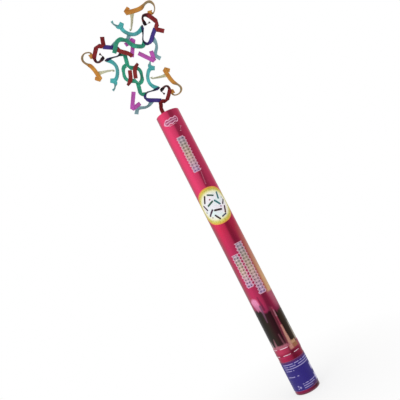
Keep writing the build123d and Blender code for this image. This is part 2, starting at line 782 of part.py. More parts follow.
def wave(x, y):
    """Depth of the burst's waves at a point of the flat burst."""
    return wave_depth * (sin(2 * pi * x / wave_length) + sin(2 * pi * y / wave_length))


def burst_point(spray, point, centre):
    """Carry a point of the flat spray above the muzzle, on the wave's slope at the station's centre."""
    flat = (spray_frame(spray) * Pos(*point)).position
    middle = (spray_frame(spray) * Pos(*centre)).position
    steepness = wave_depth * 2 * pi / wave_length
    slope_x = steepness * cos(2 * pi * middle.X / wave_length)
    slope_y = steepness * cos(2 * pi * middle.Y / wave_length)
    back = flat.Z + wave(middle.X, middle.Y) + slope_x * (flat.X - middle.X) + slope_y * (flat.Y - middle.Y)
    return (burst_frame * Pos(flat.X, flat.Y, -back)).position


def tail_row(spray):
    """Row of a spray for the tail that hangs in the muzzle, its outer corner beside the seal's petals."""
    corner_radius = petal_radius - SEAL_FOIL - TAIL_CLEARANCE
    corner_x = corner_radius * cos(radians(TAIL_PLACE))
    corner_y = corner_radius * sin(radians(TAIL_PLACE))
    tail = Pos(corner_x + streamer_width / 2, corner_y + TAIL_SLANT, OVERALL_LENGTH - TAIL_DIP)
    flat = (burst_frame.inverse() * tail).position
    local = (spray_frame(spray).inverse() * Pos(flat.X, flat.Y, -flat.Z - wave(flat.X, flat.Y))).position
    return (local.X / SPRAY_SPAN, local.Y / SPRAY_SPAN, local.Z / streamer_width, 0.0)


def spray_runs(spray_name, colour):
    """A streamer's runs; the lowest red one starts in the muzzle."""
    runs = OWN_ROUTES.get((spray_name, colour), STREAMERS[colour])
    if spray_name == TAIL_SPRAY and colour == TAIL_COLOUR:
        return ((tail_row(SPRAY_SHARES[spray_name]), *runs[0]), *runs[1:])
    return runs


def streamer(spray, runs):
    """Thin paper strip: ruled faces from each station to the next, closed at both ends."""
    outlines = []
    for place, way, half in streamer_stations(runs):
        thick = way.cross(half).normalized() * (STREAMER_THICKNESS / 2)
        corners = (place + half + thick, place - half + thick, place - half - thick, place + half - thick)
        outlines.append([burst_point(spray, corner, place) for corner in corners])
    faces = [Face(Wire.make_polygon(outlines[0])), Face(Wire.make_polygon(outlines[-1]))]
    for near, far in zip(outlines, outlines[1:]):
        for side in range(len(near)):
            near_edge = Edge.make_line(near[side - 1], near[side])
            far_edge = Edge.make_line(far[side - 1], far[side])
            faces.append(Face.make_surface_from_curves(near_edge, far_edge))
    return Solid(Shell(faces))


def main():
    pieces = {
        "barrel_tube": barrel_tube(),
        "barrel_foil": ring(card_radius, foil_radius, seam_top, OVERALL_LENGTH),
        "seam_collar": seam_collar(),
        "coupler": coupler(),
        "seam_o_ring": seam_o_ring(),
        "air_bottle": air_bottle(),
        "neck_gasket": ring(bulkhead_bore_radius, SHOULDER_SEAT_DIAMETER / 2, bulkhead_top, bottle_low),
        "neck_seal": ring(SEAL_TEAR_DIAMETER / 2, neck_radius, seal_low, neck_low),
        "neck_cap": neck_cap(),
        "fill_valve": fill_valve(),
        "cylinder_spider": cylinder_spider(),
        "stop_ring": ring(glued_radius - STOP_WALL, glued_radius, stop_low, stop_top),
        "muzzle_ring": ring(muzzle_radius, glued_radius, muzzle_ring_low, muzzle_ring_top),
        "muzzle_seal": muzzle_seal(),
        "base_sleeve": ring(bore_radius, card_radius, PLUG_FLANGE, BASE_LENGTH),
        "base_foil": ring(card_radius, foil_radius, PLUG_FLANGE, BASE_LENGTH),
        "base_label": ring(foil_radius, foil_radius + LABEL, LABEL_LOW, label_top),
        "end_plug": end_plug(),
        "trigger_core": trigger_core(),
        "retaining_ring": retaining_ring(),
        "striker_carrier": striker_carrier(),
        "striker_pin": striker_pin(),
        "striker_spring": striker_spring(),
        "pusher_cup": pusher_cup(),
        "pusher_felt": rod(sliding_radius, felt_low, pusher_low),
    }
    for spray_name, spray in SPRAY_SHARES.items():
        for colour in STREAMERS:
            pieces[f"streamer_{spray_name}_{colour}"] = streamer(spray, spray_runs(spray_name, colour))
    os.makedirs("parts", exist_ok=True)
    for name, piece in pieces.items():
        export_step(piece, f"parts/{name}.step")
    print(f"striker travel {striker_travel:.2f} mm, pusher travel {seal_foil_low - pusher_top:.2f} mm")


if __name__ == "__main__":
    main()
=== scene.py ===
import math

import bmesh
import bpy
from mathutils import Matrix, Vector, noise


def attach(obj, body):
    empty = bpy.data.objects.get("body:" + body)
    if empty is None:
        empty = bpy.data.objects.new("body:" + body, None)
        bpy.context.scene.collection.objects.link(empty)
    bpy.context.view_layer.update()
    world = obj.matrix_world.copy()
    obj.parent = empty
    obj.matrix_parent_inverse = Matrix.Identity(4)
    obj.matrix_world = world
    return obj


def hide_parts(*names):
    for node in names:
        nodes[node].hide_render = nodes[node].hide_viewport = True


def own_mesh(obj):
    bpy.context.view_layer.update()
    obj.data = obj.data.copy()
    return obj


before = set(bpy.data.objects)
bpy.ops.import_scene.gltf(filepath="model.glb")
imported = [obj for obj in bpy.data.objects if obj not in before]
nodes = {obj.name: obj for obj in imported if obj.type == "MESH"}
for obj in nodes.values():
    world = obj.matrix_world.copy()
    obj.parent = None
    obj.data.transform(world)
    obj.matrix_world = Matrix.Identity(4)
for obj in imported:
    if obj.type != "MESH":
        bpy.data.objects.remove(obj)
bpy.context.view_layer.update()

# A twist-action confetti popper, just fired. The tube stands on the origin along +Z, with its printed
# front towards -Y, and the camera is tilted as in the photograph. Pieces are in metres. Prints are drawn in
# millimetres: s runs round the tube from the middle of the front, positive to the right, and h is the
# height above the foot.

scene = bpy.context.scene

MM_PER_METRE = 1000.0
TUBE_RADIUS_MM = 25.0
HALF_ROUND_MM = math.pi * TUBE_RADIUS_MM
# Where tints on the right of the front end, and how softly, and half the lap of the foil at the back.
RIGHT_END_MM = 50.0
RIGHT_FADE_MM = 20.0
LAP_MM = 5.0
LABEL_LOW_MM = 7.5
LABEL_HIGH_MM = 65.5
STREAMER_COLOURS = ("red", "blue", "orange", "gold", "cyan", "teal", "magenta", "green", "maroon")
SPRAYS = ("low", "left", "right")
# Ripples of the paper: height, number to a metre, and seed.
RIPPLE = 0.00022
RIPPLES_PER_METRE = 130.0
RIPPLE_SEED = 5
# Points closer than WELD are joined, folds flatter than FLAT_ANGLE are dissolved, folds sharper than
# SHARP_FOLD stay sharp, and edges longer than each of LONGEST_EDGES in turn are split.
WELD = 0.00002
FLAT_ANGLE = math.radians(0.3)
SHARP_FOLD = math.radians(38.0)
LONGEST_EDGES = (0.006, 0.003)


class Value:
    """One socket of a finish. Sums and comparisons add Math nodes, and | takes the larger of two."""

    def __init__(self, finish, socket):
        self.finish = finish
        self.socket = socket

    def math(self, operation, *others, first=None, clamp=False):
        terms = [self, *others] if first is None else [first, self]
        settings = {"operation": operation, "use_clamp": clamp}
        return self.finish.node("ShaderNodeMath", settings, dict(enumerate(terms)))

    def steepened(self, gain, middle=0.5):
        """Contrast raised about a middle value, held between 0 and 1."""
        return self.math("MULTIPLY_ADD", gain, 0.5 - gain * middle, clamp=True)

    def out(self, name):
        return Value(self.finish, self.socket.node.outputs[name])

    def __add__(self, other):
        return self.math("ADD", other)

    def __sub__(self, other):
        return self.math("SUBTRACT", other)

    def __rsub__(self, other):
        return self.math("SUBTRACT", first=other)

    def __mul__(self, other):
        return self.math("MULTIPLY", other)

    def __truediv__(self, other):
        return self.math("DIVIDE", other)

    def __mod__(self, other):
        return self.math("FLOORED_MODULO", other)

    def __lt__(self, other):
        return self.math("LESS_THAN", other)

    def __gt__(self, other):
        return self.math("GREATER_THAN", other)

    def __or__(self, other):
        return self.math("MAXIMUM", other)

    def __abs__(self):
        return self.math("ABSOLUTE")

    def __neg__(self):
        return self.math("MULTIPLY", -1.0)


class Finish:
    """A material, or the studio's surround, in the making."""

    def __init__(self, name, owner=None):
        self.material = owner or bpy.data.materials.new(name)
        self.material.use_nodes = True
        self.tree = self.material.node_tree
        self.tree.nodes.clear()
        self.place = self.node("ShaderNodeTexCoord", output="Object")

    def node(self, kind, settings=None, inputs=None, output=0):
        """Adds a node: its settings are set first, then the values or links of its sockets."""
        made = self.tree.nodes.new(kind)
        for name, value in (settings or {}).items():
            if name != "stops":
                setattr(made, name, value)
                continue
            stops = made.color_ramp.elements
            while len(stops) < len(value):
                stops.new(0.5)
            for stop, (position, colour) in zip(stops, value):
                stop.position = position
                stop.color = (*colour, 1.0)
        for name, value in (inputs or {}).items():
            socket = made.inputs[name]
            if isinstance(value, Value):
                self.tree.links.new(value.socket, socket)
            elif isinstance(value, tuple) and len(value) == 3 and socket.type == "RGBA":
                socket.default_value = (*value, 1.0)
            else:
                socket.default_value = value
        return Value(self, made.outputs[output]) if made.outputs else None

    def mix(self, factor, first, second):
        """Colour between first at 0 and second at 1."""
        return self.node("ShaderNodeMix", {"data_type": "RGBA"}, {0: factor, 6: first, 7: second}, output=2)

    def vector(self, operation, first, second, output=0):
        return self.node("ShaderNodeVectorMath", {"operation": operation}, {0: first, 1: second}, output)

    def scaled(self, vector, x, y, z):
        return self.vector("MULTIPLY", vector, (x, y, z))

    def noise(self, vector, scale, detail=3.0, roughness=0.5):
        return self.node("ShaderNodeTexNoise", {}, {
            "Vector": vector, "Scale": scale, "Detail": detail, "Roughness": roughness})

    def ramp(self, factor, *stops):
        return self.node("ShaderNodeValToRGB", {"stops": stops}, {0: factor})

    def round_the_tube(self):
        """(s, h) in millimetres of a point of the tube's skin."""
        x = self.node("ShaderNodeSeparateXYZ", {}, {0: self.place})
        s = x.math("ARCTAN2", -x.out("Y")) * TUBE_RADIUS_MM
        return s, x.out("Z") * MM_PER_METRE

    def bump(self, height, distance):
        return self.node("ShaderNodeBump", {}, {"Strength": 1.0, "Distance": distance, "Height": height})

    def done(self, **sockets):
        """Closes the finish with a Principled shader and returns the material."""
        named = {
            name.replace("_", " ").title().replace("Ior", "IOR"): value
            for name, value in sockets.items()
        }
        shader = self.node("ShaderNodeBsdfPrincipled", {}, named)
        self.node("ShaderNodeOutputMaterial", {}, {"Surface": shader})
        return self.material


def inside(distance, soft=0.35):
    """1 where a distance is below 0, with an edge as wide as soft."""
    return distance.math("MULTIPLY_ADD", -1.0 / soft, 0.5, clamp=True)


def from_point(s, h, at_s, at_h):
    """Distance from a point."""
    across = s - at_s
    along = h - at_h
    return (across * across + along * along).math("SQRT")


def from_line(s, h, start, end):
    """Distance from the straight line between two points."""
    ds, dh = end[0] - start[0], end[1] - start[1]
    square = ds * ds + dh * dh
    share = ((s - start[0]) * (ds / square)).math("ADD", (h - start[1]) * (dh / square), clamp=True)
    return from_point(s - share * ds, h - share * dh, *start)


def on_the_right(s, start, soft):
    """1 from start on, to the right of the middle of the front, and 0 again at the back."""
    return inside(start - s, soft) * inside(s - RIGHT_END_MM, RIGHT_FADE_MM)


class Print:
    """Inks laid one over another on a skin: colour, metallic and roughness."""

    def __init__(self, finish, colour, metallic, roughness):
        self.finish = finish
        self.colour = colour
        self.metallic = metallic
        self.roughness = roughness

    def lay(self, mask, ink, metallic, roughness):
        """Lays an ink where the mask is 1."""
        self.colour = self.finish.mix(mask, self.colour, ink)
        self.metallic = mask * (metallic - self.metallic) + self.metallic
        self.roughness = mask * (roughness - self.roughness) + self.roughness


MAGENTA = (0.80, 0.052, 0.160)
CRIMSON = (0.70, 0.028, 0.095)
DULL_CRIMSON = (0.52, 0.030, 0.110)
DEEP_CRIMSON = (0.34, 0.011, 0.055)
PALE_PINK = (0.74, 0.40, 0.52)
SOOT = (0.013, 0.011, 0.009)
WINE_BLACK = (0.034, 0.003, 0.008)
OLIVE_BLACK_HIGHLIGHT = (0.060, 0.034, 0.018)
LILAC = (0.86, 0.28, 0.50)
AMBER = (0.70, 0.40, 0.17)
BROWN = (0.34, 0.145, 0.055)
PEACH = (0.62, 0.29, 0.22)
ROSE = (0.44, 0.110, 0.165)
PLUM = (0.20, 0.014, 0.075)
GOLD = (0.80, 0.38, 0.050)
OLIVE_GOLD = (0.46, 0.40, 0.035)
LEMON = (0.80, 0.70, 0.13)
CREAM = (0.93, 0.90, 0.58)
BADGE_WHITE = (0.91, 0.92, 0.91)
VIOLET_GREY = (0.42, 0.37, 0.66)

# Metallic and roughness of the commonest inks.
DASH_INK = (0.0, 0.42)
PALE_INK = (0.20, 0.32)
PAPER_INK = (0.0, 0.34)

FOIL_METALLIC = 0.92
FOIL_ROUGHNESS = 0.15
FOIL_RELIEF = 0.00008
# Heights of the foil's change from crimson to magenta, and of the dark crest above the seam.
FADE_LOW_MM = 245.0
FADE_LENGTH_MM = 300.0
FADE_DRIFT_MM = 90.0
CREST_MM = 155.5
CREST_SWING_MM = 7.5


def foil_ground(finish):
    """Metallised foil: hue drifting along the tube, rolled streaks, fine crinkle and the lap at the back."""
    s, h = finish.round_the_tube()
    drift = finish.noise(finish.scaled(finish.place, 14.0, 14.0, 5.0), 1.0, 2.0)
    ground = finish.ramp(
        (h + drift * FADE_DRIFT_MM - FADE_LOW_MM) / FADE_LENGTH_MM,
        (0.0, DULL_CRIMSON),
        (0.22, DULL_CRIMSON),
        (0.46, CRIMSON),
        (0.80, MAGENTA),
    )
    streaks = finish.noise(finish.scaled(finish.place, 900.0, 900.0, 12.0), 1.0, 2.0)
    crinkle = finish.noise(finish.place, 260.0, 4.0, 0.55)
    lap = inside(HALF_ROUND_MM - LAP_MM - abs(s), 0.6)
    relief = streaks * 0.25 + crinkle * 0.55 + lap * 1.4
    roughness = streaks * 0.10 + crinkle * 0.06 + (FOIL_ROUGHNESS - 0.08)
    return s, h, Print(finish, ground, FOIL_METALLIC, roughness), relief


def lacquered(finish, ink, relief):
    """Closes a foil finish under its thin clear lacquer."""
    return finish.done(
        base_color=ink.colour,
        metallic=ink.metallic,
        roughness=ink.roughness,
        coat_weight=0.15,
        coat_roughness=0.06,
        normal=finish.bump(relief, FOIL_RELIEF),
    )


def lay_plate(ink, s, h, at_s, low, high, half):
    """Ladder of small leaves along the tube, with a pale zigzag edge and a drifting tint."""
    finish = ink.finish
    pitch, border, soft = 6.4, 1.7, 0.8
    speck = finish.noise(finish.place, 520.0, 2.0)
    sway = finish.noise(finish.place, 150.0, 2.0)
    across = abs(s - at_s + (sway * 4.0 - 2.0))
    beyond = abs(h - (low + high) / 2) - (high - low) / 2
    step = abs((h - low + speck * 2.0) % pitch - pitch / 2)
    tint = finish.ramp(
        (h - low) / (high - low),
        (0.0, (0.44, 0.27, 0.50)),
        (0.22, (0.56, 0.34, 0.42)),
        (0.48, (0.58, 0.40, 0.30)),
        (0.76, (0.42, 0.34, 0.28)),
        (1.0, (0.36, 0.29, 0.40)),
    )
    ink.lay(inside((across + step * 0.75 - half) | (beyond - 1.3), soft), PALE_PINK, *PALE_INK)
    ink.lay(inside((across + step * 0.70 - half + border) | beyond, soft), tint, 0.15, 0.30)
    leaf = abs(across - half * 0.39) + step * 1.1 - speck * 3.4
    ink.lay(inside(leaf | beyond, soft) * 0.9, (0.070, 0.028, 0.045), 0.15, 0.30)
    bead = across * 0.55 + (pitch / 2 - step) * 1.2 - speck * 3.0
    ink.lay(inside(bead | beyond, soft) * 0.8, (0.80, 0.62, 0.62), 0.10, 0.32)


def lay_badge(ink, s, h):
    """Round badge: gold rim with glitter, white middle with scattered paper bars and dots."""
    finish = ink.finish
    at_s, at_h, radius = 0.5, 388.6, 38.4
    out = from_point(s, h, at_s, at_h) - radius
    glitter = finish.noise(finish.place, 420.0, 3.0, 0.7).steepened(4.0)
    cloud = finish.noise(finish.place, 45.0, 1.0).steepened(4.0)
    ink.lay(inside(out), GOLD, 0.10, 0.30)
    ink.lay(inside(out + 2.6, 1.2), finish.mix(glitter, OLIVE_GOLD, LEMON), 0.10, 0.34)
    ink.lay(inside(out + 8.0, 5.0), CREAM, *PAPER_INK)
    tinted = finish.mix(cloud, (0.70, 0.90, 0.90), (0.90, 0.82, 0.93))
    ink.lay(inside(out + 13.0, 8.0), finish.mix(0.6, BADGE_WHITE, tinted), 0.0, 0.32)
    u, v = s - at_s, h - at_h
    bark, leaf, teal = (0.035, 0.014, 0.012), (0.018, 0.095, 0.048), (0.028, 0.170, 0.180)
    plum, navy, wine = (0.055, 0.012, 0.045), (0.030, 0.040, 0.120), (0.080, 0.012, 0.016)
    bars = (
        # middle, slope in degrees, half length, half thickness, colour
        ((-13.5, 18.0), 62.0, 6.5, 1.8, bark),
        ((1.0, 21.5), -28.0, 5.5, 1.6, leaf),
        ((14.5, 16.0), 78.0, 6.0, 1.8, teal),
        ((-20.5, 3.0), -68.0, 5.5, 1.7, plum),
        ((-6.5, 6.5), 22.0, 6.0, 1.9, leaf),
        ((7.5, 3.5), -56.0, 6.0, 1.9, teal),
        ((20.5, 0.5), 48.0, 5.0, 1.6, bark),
        ((-13.5, -10.5), 40.0, 6.5, 1.9, plum),
        ((2.0, -10.5), -14.0, 6.5, 2.0, bark),
        ((16.0, -14.5), 68.0, 6.0, 1.8, wine),
        ((-5.0, -23.0), -60.0, 5.5, 1.7, bark),
        ((8.5, -24.5), 16.0, 4.5, 1.5, navy),
    )
    for (at_u, at_v), slope, half, thick, colour in bars:
        reach_u = half * math.cos(math.radians(slope))
        reach_v = half * math.sin(math.radians(slope))
        bar = from_line(u, v, (at_u - reach_u, at_v - reach_v), (at_u + reach_u, at_v + reach_v))
        ink.lay(inside(bar - thick, 0.5), colour, *PAPER_INK)
    dots = (
        # across, up, radius, colour
        (-4.0, 14.0, 1.5, (0.24, 0.02, 0.03)),
        (10.5, -6.5, 1.5, (0.28, 0.03, 0.20)),
        (-15.0, -20.0, 1.4, (0.34, 0.17, 0.02)),
        (21.5, 9.5, 1.3, (0.03, 0.13, 0.20)),
        (-23.0, -6.0, 1.4, (0.02, 0.15, 0.09)),
    )
    for at_u, at_v, size, colour in dots:
        ink.lay(inside(from_point(u, v, at_u, at_v) - size, 0.5), colour, *PAPER_INK)


def lay_top_mark(ink, s, h):
    """Pale-edged cloud band near the muzzle with a plain stripe along it, and a few sparks."""
    at_s, at_h = -1.0, 577.5
    across = s - at_s
    slope = (h - at_h) - across * 0.05
    puff = (across * 0.62 + 0.4).math("SINE") * 0.9
    edge = from_line(across, slope, (-10.5, 0.0), (10.5, 0.0)) - puff
    ink.lay(inside(edge - 6.0, 0.8), (0.84, 0.42, 0.58), 0.15, 0.32)
    ink.lay(inside(edge - 3.9, 0.8), (0.40, 0.050, 0.150), 0.35, 0.28)
    stripe = from_line(across, slope, (-11.0, 0.3), (11.0, 0.3))
    ink.lay(inside(stripe - 1.2, 1.2) * 0.75, (0.80, 0.46, 0.60), 0.15, 0.32)
    pitch = 3.2
    dash = abs(across % pitch - pitch / 2)
    dashes = (dash - 1.0) | (abs(slope + 8.4) - 0.7) | (abs(across) - 8.0)
    ink.lay(inside(dashes), PALE_PINK, *PALE_INK)
    for spark_s, spark_h, size in ((8.5, 552.0, 1.1), (10.5, 556.5, 0.9), (12.8, 560.0, 1.2)):
        ink.lay(inside(from_point(s, h, spark_s, spark_h) - size) * 0.8, PALE_PINK, *PALE_INK)
    trail = from_line(s, h, (4.0, 434.0), (7.0, 460.0))
    ink.lay(inside(trail - 0.7, 0.8) * 0.45, PALE_PINK, 0.3, 0.30)


def lay_shafts(ink, s, h, ragged, shafts):
    """Tapering light shafts with uneven edges."""
    for start, end, thin, thick, soft, metallic, colour in shafts:
        share = ((h - start[1]) / (end[1] - start[1])).math("MINIMUM", 1.0, clamp=True)
        reach = share * (thick - thin) + thin + (ragged * 2.4 - 1.2)
        ink.lay(inside(from_line(s, h, start, end) - reach, soft) * 0.92, colour, metallic, 0.28)


def lay_stage_lights(ink, s, h):
    """Party lights over dark waves at the lower end of the barrel."""
    finish = ink.finish
    ragged = finish.noise(finish.scaled(finish.place, 260.0, 260.0, 60.0), 1.0, 4.0, 0.6)
    lay_shafts(ink, s, h, ragged, (
        # start, end, half width at both, edge, metallic, colour
        ((-26.0, 352.0), (-28.0, 190.0), 3.0, 6.0, 9.0, 0.80, (0.46, 0.065, 0.110)),
        ((21.0, 196.0), (23.0, 168.0), 7.0, 5.0, 7.0, 0.20, (0.44, 0.080, 0.145)),
        ((19.0, 262.0), (18.0, 250.0), 0.4, 1.1, 2.4, 0.60, DEEP_CRIMSON),
        ((-19.5, 188.0), (-15.5, 166.0), 7.6, 4.2, 4.0, 0.25, LILAC),
    ))
    glow_s, glow_half, glow_low, glow_high = 31.0, 14.0, 198.0, 275.0
    glow = inside(abs(s - glow_s) - glow_half, 9.0) * inside(h - glow_high - ragged * 20.0, 120.0)
    ink.lay(glow * inside(glow_low - h - ragged * 4.0, 4.0) * 0.95, AMBER, 0.15, 0.28)
    turn = (s / TUBE_RADIUS_MM).math("SINE")
    wave = (turn * CREST_SWING_MM + 0.5).math("SINE") * 3.0
    crest = turn * -CREST_SWING_MM + wave + ragged * 16.0 + CREST_MM
    middle = inside(abs(s - 1.0) - 11.0, 10.0)
    # The dark waves are print; their olive tint growing towards the right side is a painted highlight.
    dusk = finish.mix(middle, finish.mix(turn * 0.5 + 0.5, SOOT, OLIVE_BLACK_HIGHLIGHT), WINE_BLACK)
    ink.lay(inside(h - crest - 8.0, 16.0) * 0.6, PLUM, 0.80, 0.26)
    ink.lay(inside(h - crest, 5.0), dusk, 0.90, 0.24)
    lay_shafts(ink, s, h, ragged, (
        # start, end, half width at both, edge, metallic, colour
        ((-8.0, 196.0), (-6.5, 170.0), 0.6, 2.2, 2.4, 0.80, (0.15, 0.010, 0.050)),
        ((-11.0, 178.0), (-12.5, 146.0), 2.4, 0.8, 2.4, 0.40, (0.16, 0.050, 0.110)),
        ((4.5, 170.0), (4.8, 90.0), 1.6, 3.0, 2.4, 0.10, (0.17, 0.018, 0.040)),
        ((8.6, 168.0), (8.6, 118.0), 1.4, 2.4, 2.4, 0.10, (0.36, 0.040, 0.085)),
        ((9.2, 162.0), (9.2, 150.0), 0.8, 1.2, 2.4, 0.10, (0.42, 0.19, 0.24)),
        ((9.2, 130.0), (9.6, 90.0), 1.6, 3.8, 2.4, 0.10, PEACH),
        ((-3.5, 118.0), (-1.5, 96.0), 0.7, 1.7, 2.4, 0.30, (0.17, 0.040, 0.060)),
        ((-18.0, 112.0), (-19.5, 96.0), 0.6, 2.6, 2.4, 0.30, (0.30, 0.110, 0.145)),
        ((29.0, 130.0), (30.0, 95.0), 0.8, 4.0, 2.4, 0.05, (0.40, 0.34, 0.25)),
        ((-30.5, 108.0), (-30.0, 95.0), 0.8, 3.5, 2.4, 0.05, (0.40, 0.26, 0.29)),
        ((-62.0, 150.0), (-60.0, 95.0), 0.8, 3.5, 2.4, 0.30, (0.24, 0.040, 0.080)),
        ((47.0, 158.0), (45.0, 95.0), 0.8, 3.0, 2.4, 0.30, (0.22, 0.050, 0.110)),
        ((66.0, 140.0), (69.0, 95.0), 0.8, 3.8, 2.4, 0.15, (0.40, 0.17, 0.10)),
    ))
    hem_high, hem_break_s, hem_break_half = 92.0, 17.0, 10.0
    hem = inside(h - hem_high - ragged * 9.0, 3.0) * inside(hem_break_half - abs(s - hem_break_s), 4.0)
    ink.lay(hem, ROSE, 0.30, 0.25)
    patch_high, patch_s, patch_half = 95.0, 17.5, 5.5
    lit_patch = inside(h - patch_high - ragged * 5.0, 2.0) * inside(abs(s - patch_s) - patch_half, 2.0)
    ink.lay(lit_patch, (0.52, 0.28, 0.15), 0.10, 0.28)


def barrel_finish():
    """Printed foil of the barrel: stage lights, plates of leaves, badge and cloud band."""
    finish = Finish("magenta_foil_printed")
    s, h, ink, relief = foil_ground(finish)
    lay_stage_lights(ink, s, h)
    plates = (
        # middle, low end, high end, half width
        (1.0, 464.0, 540.0, 9.3),
        (7.4, 200.0, 304.0, 8.7),
        (-9.8, 219.0, 285.0, 8.2),
    )
    for at_s, low, high, half in plates:
        lay_plate(ink, s, h, at_s, low, high, half)
    lay_badge(ink, s, h)
    lay_top_mark(ink, s, h)
    return lacquered(finish, ink, relief)


def base_foil_finish():
    """Foil of the base, with painted shade below the seam and round the foot, darkest on the right."""
    finish = Finish("magenta_foil_plain")
    s, h, ink, relief = foil_ground(finish)
    seam_shade, foot_shade, worn_edge = 72.5, 7.0, 1.0
    uneven = finish.noise(finish.place, 240.0) * 3.0
    # Painted shade below the seam and round the foot, much darker on the right of the front.
    lower = finish.mix(on_the_right(s, 1.0, 12.0), (0.40, 0.013, 0.070), DEEP_CRIMSON)
    ink.lay(inside(h - seam_shade - uneven, 5.0), lower, 0.85, 0.24)
    foot = finish.mix(on_the_right(s, 8.0, 26.0), (0.24, 0.010, 0.064), (0.035, 0.003, 0.010))
    ink.lay(inside(h - foot_shade - uneven, 5.0), foot, 0.88, 0.26)
    wear_and_highlight = inside(h - worn_edge - finish.noise(finish.place, 600.0) * 1.4, 0.6)
    ink.lay(wear_and_highlight * 0.12, PALE_PINK, 0.3, 0.35)
    return lacquered(finish, ink, relief)


def collar_finish():
    """Foil band with broken pale lines painted along both of its edges as highlights, and darker below."""
    finish = Finish("magenta_foil_band")
    s, h, ink, relief = foil_ground(finish)
    edge_noise = finish.noise(finish.scaled(finish.place, 160.0, 160.0, 500.0), 1.0, 3.0, 0.6)
    ink.colour = (0.50, 0.040, 0.105)
    ink.lay(inside(h - 80.0 - edge_noise * 2.0, 4.0), DEEP_CRIMSON, 0.85, 0.24)
    ink.lay(inside(83.5 - h, 3.0) * inside(abs(s - 8.0) - 4.0, 3.0) * 0.9, PEACH, 0.10, 0.28)
    ink.lay(inside(84.0 - h, 3.0) * inside(abs(s - 18.5) - 6.5, 3.0) * 0.9, BROWN, 0.10, 0.28)
    upper_edge, lower_edge = 90.2, 78.0
    upper = inside(abs(s + 7.0) - 8.0, 2.0) | inside(abs(s + 27.0) - 5.0, 2.0)
    lower = inside(abs(s + 7.0) - 7.5, 2.0) | inside(abs(s - 13.5) - 6.0, 2.0)
    lower = lower | inside(abs(s + 28.0) - 5.0, 2.0)
    edges = (inside(upper_edge - h, 0.6) * upper) | (inside(h - lower_edge, 0.6) * lower)
    # Painted highlight: broken pale pink-white lines along both edges of the band.
    wear_and_highlight = edges * edge_noise.steepened(3.0, 1.0 / 3.0)
    ink.lay(wear_and_highlight, (0.92, 0.60, 0.72), 0.05, 0.30)
    return lacquered(finish, ink, relief)


def label_finish():
    """Coated blue-violet paper with rows of small plain dashes, three dots and two pale panels."""
    finish = Finish("label_paper")
    s, h = finish.round_the_tube()
    fibre = finish.noise(finish.place, 1400.0, 3.0)
    cloud = finish.noise(finish.place, 60.0, 2.0)
    ground = finish.mix(cloud, (0.022, 0.013, 0.180), (0.032, 0.018, 0.225))
    ink = Print(finish, ground, 0.0, fibre * 0.12 + 0.30)
    cover = fibre * 0.5 + 0.55
    blocks = (
        # left, right, top row, rows, row pitch, row height, dash length, share of dashes
        (-27.0, 33.0, 59.6, 3, 4.1, 0.80, 2.5, 0.86),
        (-27.0, -8.0, 47.3, 1, 4.1, 0.80, 2.5, 0.90),
        (-28.0, -4.0, 35.4, 1, 4.1, 0.80, 2.5, 0.95),
        (-5.0, 27.0, 18.6, 1, 3.7, 0.75, 2.3, 0.90),
        (-5.0, 20.0, 14.9, 1, 3.7, 0.75, 2.3, 0.90),
        (-5.0, 14.0, 11.2, 1, 3.7, 0.75, 2.3, 0.90),
    )
    for left, right, top, rows, pitch, tall, dash, share in blocks:
        low = top - pitch * (rows - 1)
        row = abs((h - (low - pitch / 2)) % pitch - pitch / 2)
        in_rows = inside(abs(h - (low + top) / 2) - (top - low + pitch) / 2)
        in_block = in_rows * inside(abs(s - (left + right) / 2) - (right - left) / 2)
        line = ((h - (low - pitch / 2)) / pitch).math("FLOOR")
        cell = ((s + line * 3.7) / dash).math("FLOOR")
        chance = finish.node("ShaderNodeTexWhiteNoise", {"noise_dimensions": "3D"}, {
            "Vector": finish.node("ShaderNodeCombineXYZ", {}, {0: cell, 1: line, 2: top})})
        dashes = inside(row - tall, 0.3) * in_block * (chance < share)
        ink.lay(dashes * cover, VIOLET_GREY, *DASH_INK)
    for at_s, at_h, radius in ((-15.5, 16.5, 1.7), (-12.0, 13.6, 2.1), (-16.4, 12.0, 1.2)):
        dot = inside(from_point(s, h, at_s, at_h) - radius, 0.6)
        ink.lay(dot * cover, VIOLET_GREY, *DASH_INK)
    top_shade, corner_shade = 63.5, 10.5
    ink.lay(inside(top_shade - h - cloud * 2.0, 4.0), (0.12, 0.014, 0.100), *PAPER_INK)
    corner = inside(h - corner_shade - cloud * 4.0, 5.0) * on_the_right(s, 9.0, 16.0)
    ink.lay(corner * 0.75, (0.080, 0.008, 0.050), 0.0, 0.36)
    speckle = {"Vector": finish.place, "Scale": 430.0}
    specks = finish.node("ShaderNodeTexVoronoi", {}, speckle) > 0.42
    panel_s, panel_half = 34.0, 6.5
    for middle, tall in ((38.0, 6.0), (17.5, 6.5)):
        panel = (abs(s - panel_s) - panel_half) | (abs(h - middle) - tall)
        ink.lay(inside(panel, 2.4) * (specks * 0.2 + 0.75), (0.64, 0.60, 0.82), *DASH_INK)
    rim = (LABEL_HIGH_MM - LABEL_LOW_MM) / 2 - abs(h - (LABEL_HIGH_MM + LABEL_LOW_MM) / 2)
    ink.lay(inside(rim - 0.25 - fibre * 0.4, 0.4) * 0.3, VIOLET_GREY, 0.0, 0.5)
    return finish.done(
        base_color=ink.colour,
        roughness=ink.roughness,
        specular_ior_level=0.25,
        coat_weight=0.05,
        coat_roughness=0.12,
        normal=finish.bump(fibre, 0.00006),
    )


